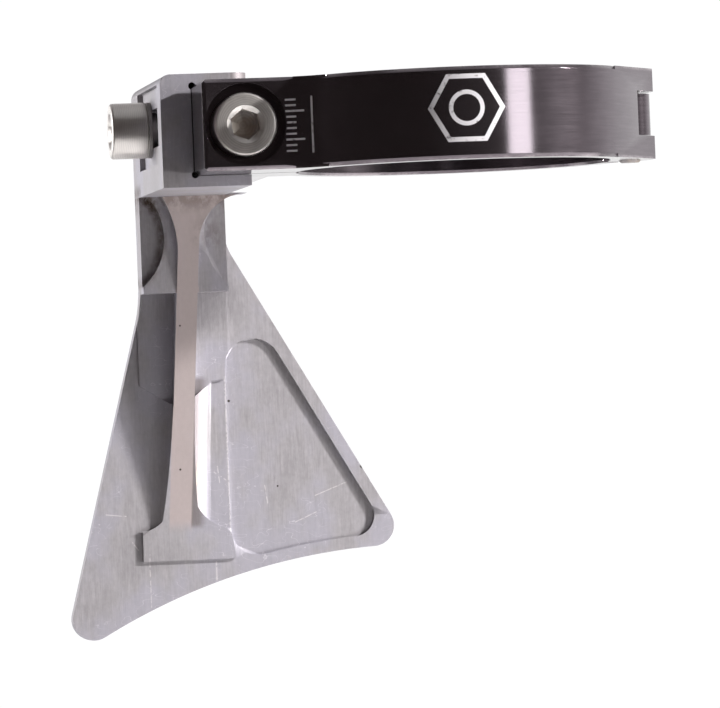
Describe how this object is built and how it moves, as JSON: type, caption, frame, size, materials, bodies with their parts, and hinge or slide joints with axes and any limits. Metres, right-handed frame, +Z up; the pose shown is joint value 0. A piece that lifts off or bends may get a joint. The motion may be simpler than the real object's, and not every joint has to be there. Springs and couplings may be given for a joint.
{
  "type": "clamp-on chain guide",
  "caption": "Hinged band clamp with a sideways rail that carries a machined chain-guide plate, for a bicycle with a single chainring.",
  "frame": {"origin": "centre of the clamp bore, at the middle of the band's height", "axes": "+Z up along the seat tube, +X towards the hinge (rear of the bicycle), +Y towards the chain side"},
  "size_m": [0.0639, 0.0635, 0.0628],
  "materials": {
    "black_anodised": "black anodised aluminium, satin gloss",
    "raw_aluminium": "bare machined aluminium with fine brushed tool marks",
    "bolt_steel": "plain stainless steel, turned",
    "pin_steel": "dark ground steel pin"
  },
  "bodies": {
    "rear_half": {"rear_clamp_half": "black_anodised", "hinge_pin": "pin_steel"},
    "front_half": {"front_clamp_half": "black_anodised"},
    "clamp_bolt": {"clamp_bolt": "bolt_steel"},
    "guide": {"guide_body": "raw_aluminium", "outer_plate": "raw_aluminium", "plate_spacers": "raw_aluminium", "plate_screws": "bolt_steel"},
    "adjuster": {"adjuster_bolt": "bolt_steel", "adjuster_washer": "bolt_steel"}
  },
  "joints": [
    {"name": "clamp_hinge", "type": "hinge", "parent": "rear_half", "child": "front_half", "pos_m": [0.0199, 0, 0], "axis": [0, 0, 1], "range_deg": [0, 5]},
    {"name": "clamp_bolt_unscrew", "type": "slide", "parent": "rear_half", "child": "clamp_bolt", "axis": [0, -1, 0], "range_m": [0, 0.0044]},
    {"name": "guide_slide", "type": "slide", "parent": "rear_half", "child": "guide", "axis": [0, 1, 0], "range_m": [-0.0033, 0.0093]},
    {"name": "adjuster_unscrew", "type": "slide", "parent": "rear_half", "child": "adjuster", "axis": [-1, 0, 0], "range_m": [0, 0.012]}
  ],
  "couplings": [
    {"joint": "clamp_bolt_unscrew", "follows": "clamp_hinge", "m_per_rad": 0.0485}
  ]
}
